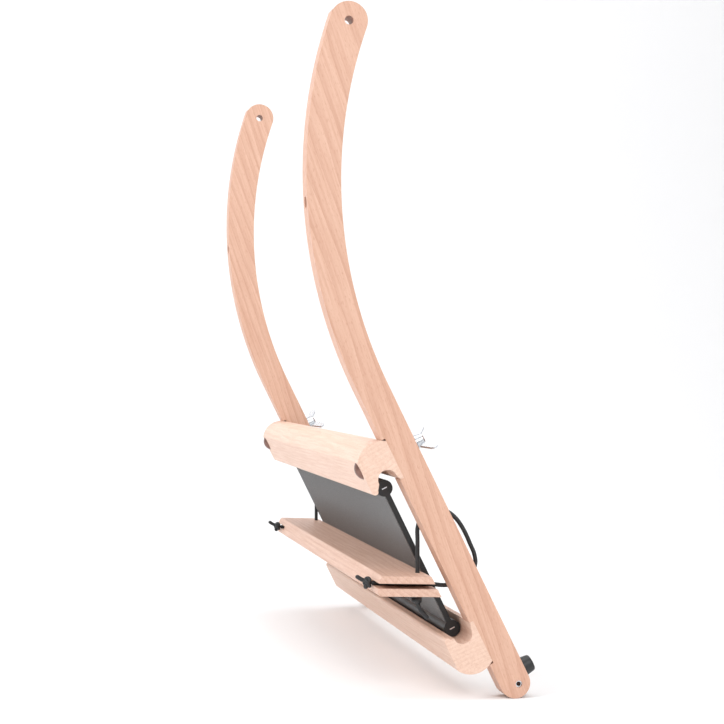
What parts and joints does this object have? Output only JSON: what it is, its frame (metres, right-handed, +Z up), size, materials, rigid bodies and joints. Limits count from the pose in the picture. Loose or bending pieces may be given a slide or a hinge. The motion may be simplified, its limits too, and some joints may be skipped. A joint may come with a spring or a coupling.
{
  "type": "hanging loom beater",
  "caption": "Hanging beater of a table loom: two curved arms, grooved beams that hold a reed, and a shuttle race board on elastic cords.",
  "frame": {"origin": "on the pivot axis, midway between the two arms", "axes": "+X to the weaver's right along the pivot axis, +Y away from the weaver, +Z up"},
  "size_m": [0.5032, 0.1717, 0.5052],
  "materials": {
    "beech": "oiled satin",
    "reed_steel": "satin",
    "black_tube": "matte",
    "zinc": "bright zinc plate",
    "browned_steel": "browned",
    "elastic_cord": "braided",
    "rubber": "matte"
  },
  "bodies": {
    "frame": {"right_arm": "beech", "left_arm": "beech", "lower_beam": "beech", "lower_beam_screws": "zinc", "bolt_washers": "zinc", "right_bumper": "rubber", "left_bumper": "rubber", "bumper_screws": "zinc", "foot_inserts": "zinc"},
    "clamp_beam": {"upper_beam": "beech", "right_bolt": "browned_steel", "left_bolt": "browned_steel"},
    "right_nut": {"right_wing_nut": "zinc"},
    "left_nut": {"left_wing_nut": "zinc"},
    "reed": {"reed_dents": "reed_steel", "reed_end_bars": "black_tube", "reed_top_baulk": "black_tube", "reed_bottom_baulk": "black_tube", "reed_spines": "zinc"},
    "board": {"race_board": "beech", "right_cord": "elastic_cord", "left_cord": "elastic_cord", "right_front_knot": "elastic_cord", "left_front_knot": "elastic_cord", "right_under_knot": "elastic_cord", "left_under_knot": "elastic_cord"}
  },
  "joints": [
    {"name": "beam_slide", "type": "slide", "parent": "frame", "child": "clamp_beam", "axis": [0, -0.8973, -0.4415], "range_m": [0, 0.0006]},
    {"name": "right_nut_spin", "type": "hinge", "parent": "frame", "child": "right_nut", "pos_m": [0.241, 0.03978, -0.30971], "axis": [0, 0.8973, 0.4415], "range_deg": [0, 270]},
    {"name": "left_nut_spin", "type": "hinge", "parent": "frame", "child": "left_nut", "pos_m": [-0.241, 0.03978, -0.30971], "axis": [0, 0.8973, 0.4415], "range_deg": [0, 270]},
    {"name": "reed_lift", "type": "slide", "parent": "frame", "child": "reed", "axis": [0, -0.4415, 0.8973], "range_m": [0, 0.009]},
    {"name": "board_pull", "type": "slide", "parent": "frame", "child": "board", "axis": [0, -1, 0], "range_m": [0, 0.06], "stiffness_N_per_m": 80}
  ],
  "couplings": [
    {"joint": "right_nut_spin", "follows": "beam_slide", "rad_per_m": 7854},
    {"joint": "left_nut_spin", "follows": "beam_slide", "rad_per_m": 7854}
  ]
}
